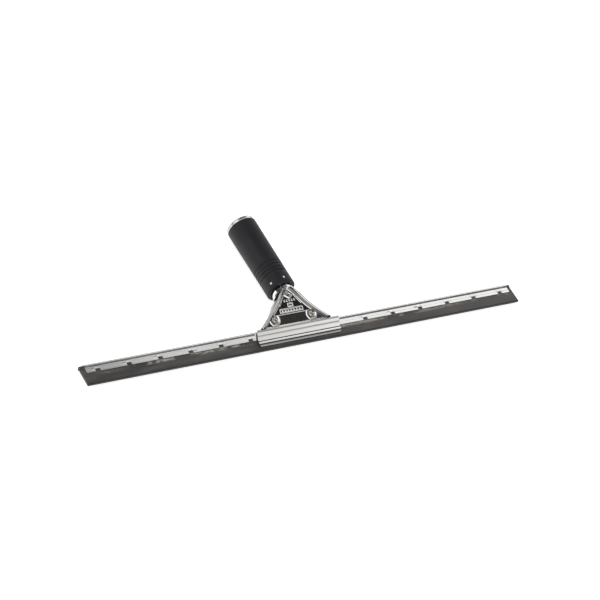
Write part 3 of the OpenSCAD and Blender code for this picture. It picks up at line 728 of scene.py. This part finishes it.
def makeRubber():
    size = {"low": -263.4, "high": 286.6, "half": 1.3, "thickTop": -140.6, "neck": 1.15, "neckTop": -134.9,
            "bead": 2.4, "shoulder": -133.4, "top": -131.3, "topRound": 0.5, "endEdge": 0.3, "draw": 0.1}
    half, bead = size["half"], size["bead"]
    # half outline from the tip up to the bead's top, then mirrored to the back
    side = np.array([[bladeTip, half], [size["thickTop"], half], [size["neckTop"], size["neck"]],
                     [size["shoulder"], bead], [size["top"], bead - size["topRound"]]])
    radius = np.array([0.12, 1.5, 0.5, 0.5, 0.6])
    outline = np.concatenate([side * [1, -1], side[::-1]])
    outline = roundCorners(outline, np.r_[radius, radius[::-1]], 5)
    outline[:, 1] += bladeZ
    middle, reach = (size["low"] + size["high"]) / 2, (size["high"] - size["low"]) / 2
    xs = middle + np.linspace(-1, 1, 61) * (reach - size["endEdge"])
    points, faces = sweepAlongX(outline, np.r_[middle - reach, xs, middle + reach])
    # the two end faces draw in a little, which rounds their edges
    centre = outline.mean(0)
    for row in (0, -1):
        points[row, :, 1:] += size["draw"] * np.sign(centre - points[row, :, 1:])
    return makePiece("rubber_blade_moulded", points, faces, "rubber", ["rubber_blade"],
                     solid=True, angle=40)


paint(makeChannel(), finishes["channel_steel"])
paint(makeRubber(), finishes["blade_rubber"])

print("stage: spring and remaining metal")


def makeSpring():
    size = {"y": -110.2, "low": -15.3, "high": -6.0, "radius": 4.5, "wire": 1.1, "play": 0.02, "turns": 4.5,
            "closed": 0.75, "closedShare": 0.18, "sides": 16, "stepsPerTurn": 44, "keep": 0.64}
    sides, play = size["sides"], size["play"]
    w = size["wire"] / 2 - play
    u = np.linspace(0, size["turns"], int(size["turns"] * size["stepsPerTurn"]) + 1)
    # the share of the height climbed after u turns: slow over the closed end turns, even between them
    n, c, share = size["turns"], size["closed"], size["closedShare"]
    lift = np.interp(u, [0, c, n - c, n], [0, share, 1 - share, 1])
    z = size["low"] + w + play + (size["high"] - size["low"] - 2 * w - 2 * play) * lift
    # a helix with a round section: x = r cos a, y = r sin a, where r and z swing with the section's angle b
    a, b = 2 * math.pi * u[:, None], turnAngles(sides)
    r = size["radius"] - w + w * np.cos(b) + 0 * a
    points = np.stack([r * np.cos(a), size["y"] + r * np.sin(a), z[:, None] + w * np.sin(b)], -1)
    faces = gridFaces(len(u), sides, wrapColumns=True).tolist()
    last = (len(u) - 1) * sides
    faces += [list(range(sides)), list(range(last, last + sides))[::-1]]
    spring = makePiece("clamp_spring_wound", points, faces, "handle", ["clamp_spring"],
                       solid=True, angle=50)
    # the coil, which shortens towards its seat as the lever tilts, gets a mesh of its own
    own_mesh(spring)
    return spring


paint(makeSpring(), finishes["spring_steel"])

# CAD nodes whose shape is right, each with its finish
keptNodes = {"handle_tube": "tube_steel", "pole_socket_liner": "socket_plastic", "neck_pins": "pin_steel",
             "rivet_washer_left": "pin_steel", "rivet_washer_right": "pin_steel",
             "hinge_bracket": "tube_steel", "hinge_pin": "pin_steel", "pin_clip_left": "spring_steel",
             "pin_clip_right": "spring_steel", "clamp_lever": "lever_steel", "spring_seat": "pin_steel"}
for name, slotName in keptNodes.items():
    paint(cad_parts[name], finishes[slotName])

print("stage: floor, light and camera")


def makeFloor():
    size = {"z": -16.72, "half": 4000.0, "tone": (0.80, 0.80, 0.80, 1)}
    h, z = size["half"], size["z"]
    mesh = bpy.data.meshes.new("studio_floor")
    corners = np.array([[-h, -h, z], [h, -h, z], [h, h, z], [-h, h, z]]) * mm
    mesh.from_pydata(corners.tolist(), [], [[0, 1, 2, 3]])
    floor = bpy.data.objects.new("studio_floor", mesh)
    bpy.context.scene.collection.objects.link(floor)
    m = newFinish("floorPaper")
    mesh.materials.append(m.surface(BaseColor=size["tone"], Roughness=0.9, SpecularIORLevel=0.1,
                                    EmissionColor=(1, 1, 1, 1), EmissionStrength=0.7))


def makeLight():
    # an even bright studio with four soft dark flags, each a direction, the range over which it fades in
    # and its depth, and two soft lamps, each a place, a width and a power
    look = {"strength": 1.08, "horizon": 0.20, "horizonRise": (0.04, 0.34),
            "flags": [((0.574, -0.345, 0.742), 0.885, 0.955, 0.98),
                      ((0.144, 0.558, 0.82), 0.862, 0.95, 0.83),
                      ((-0.29, 0.47, 0.83), 0.95, 0.99, 0.8),
                      ((0.86, 0.05, 0.51), 0.93, 0.97, 0.88)],
            "lamps": [("keySoft", (0.9, 1.4, 2.6), 2.0, 16), ("fillSoft", (-1.8, 0.6, 1.8), 1.8, 7)],
            "aim": (0, -0.1, 0)}
    scene = bpy.context.scene
    world = bpy.data.worlds.new("studio")
    scene.world = world
    m = Finish(world)
    way = m.node("ShaderNodeTexCoord", out="Generated")
    height = m.node("ShaderNodeSeparateXYZ", links={0: way}, out="Z")
    light = look["horizon"] + (1 - look["horizon"]) * height.step(*look["horizonRise"])
    for direction, low, high, depth in look["flags"]:
        length = math.sqrt(sum(c * c for c in direction))
        unit = tuple(c / length for c in direction)
        along = m.node("ShaderNodeVectorMath", {"operation": "DOT_PRODUCT"}, {0: way, 1: unit},
                       out="Value")
        light = light * (1 - depth * along.step(low, high))
    back = m.node("ShaderNodeBackground", links={"Color": (1, 1, 1, 1),
                                                 "Strength": light * look["strength"]})
    end = m.tree.nodes.new("ShaderNodeOutputWorld")
    m.tree.links.new(back.socket, end.inputs[0])
    for name, where, size, power in look["lamps"]:
        lamp = bpy.data.lights.new(name, "AREA")
        lamp.shape, lamp.size, lamp.energy = "DISK", size, power
        made = bpy.data.objects.new(name, lamp)
        scene.collection.objects.link(made)
        made.location = where
        made.rotation_euler = (Vector(look["aim"]) - Vector(where)).to_track_quat("-Z", "Y").to_euler()
        made.visible_glossy = False


def makeCamera():
    place = (-1.66824, -1.48699, 1.96299)
    right, up = (0.80506, -0.47317, 0.35776), (0.14863, 0.74476, 0.65056)
    back = (-0.57428, -0.47057, 0.66991)
    data = bpy.data.cameras.new("camera")
    data.lens, data.sensor_width = 170.0, 36.0
    data.clip_start, data.clip_end = 0.1, 20.0
    camera = bpy.data.objects.new("camera", data)
    bpy.context.scene.collection.objects.link(camera)
    turn = Matrix((right, up, back)).transposed()
    camera.rotation_mode = "QUATERNION"
    camera.rotation_quaternion = turn.to_quaternion()
    camera.location = place
    bpy.context.scene.camera = camera


makeFloor()
makeLight()
makeCamera()
bpy.context.scene.view_settings.view_transform = "Standard"
bpy.context.scene.view_settings.look = "None"

print("stage: done")
